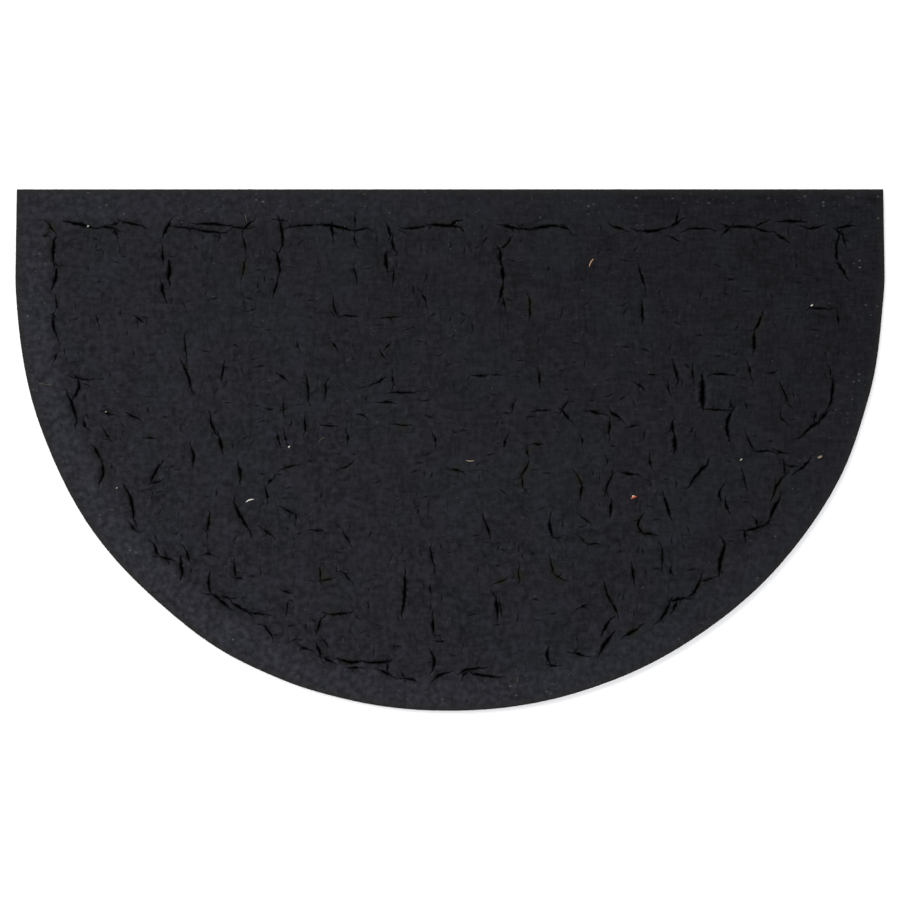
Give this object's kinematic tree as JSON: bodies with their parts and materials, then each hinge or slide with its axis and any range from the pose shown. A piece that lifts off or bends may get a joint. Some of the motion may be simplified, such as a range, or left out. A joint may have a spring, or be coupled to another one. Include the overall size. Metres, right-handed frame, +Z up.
{
  "type": "half round rubber doormat",
  "caption": "Half round moulded rubber doormat with a straight back edge, laid with its creased underside up inside a plain border.",
  "frame": {"origin": "centre of the mat's bounding box, on the plain face that lies on the ground", "axes": "+X along the straight back edge, +Y towards the straight back edge, +Z up out of the creased face"},
  "size_m": [0.75, 0.45, 0.0069],
  "materials": {
    "moulded_rubber": "near black moulded reclaimed rubber, dull, with knit-line creases and pale dust"
  },
  "bodies": {
    "root": {"moulded_mat": "moulded_rubber"}
  },
  "joints": []
}
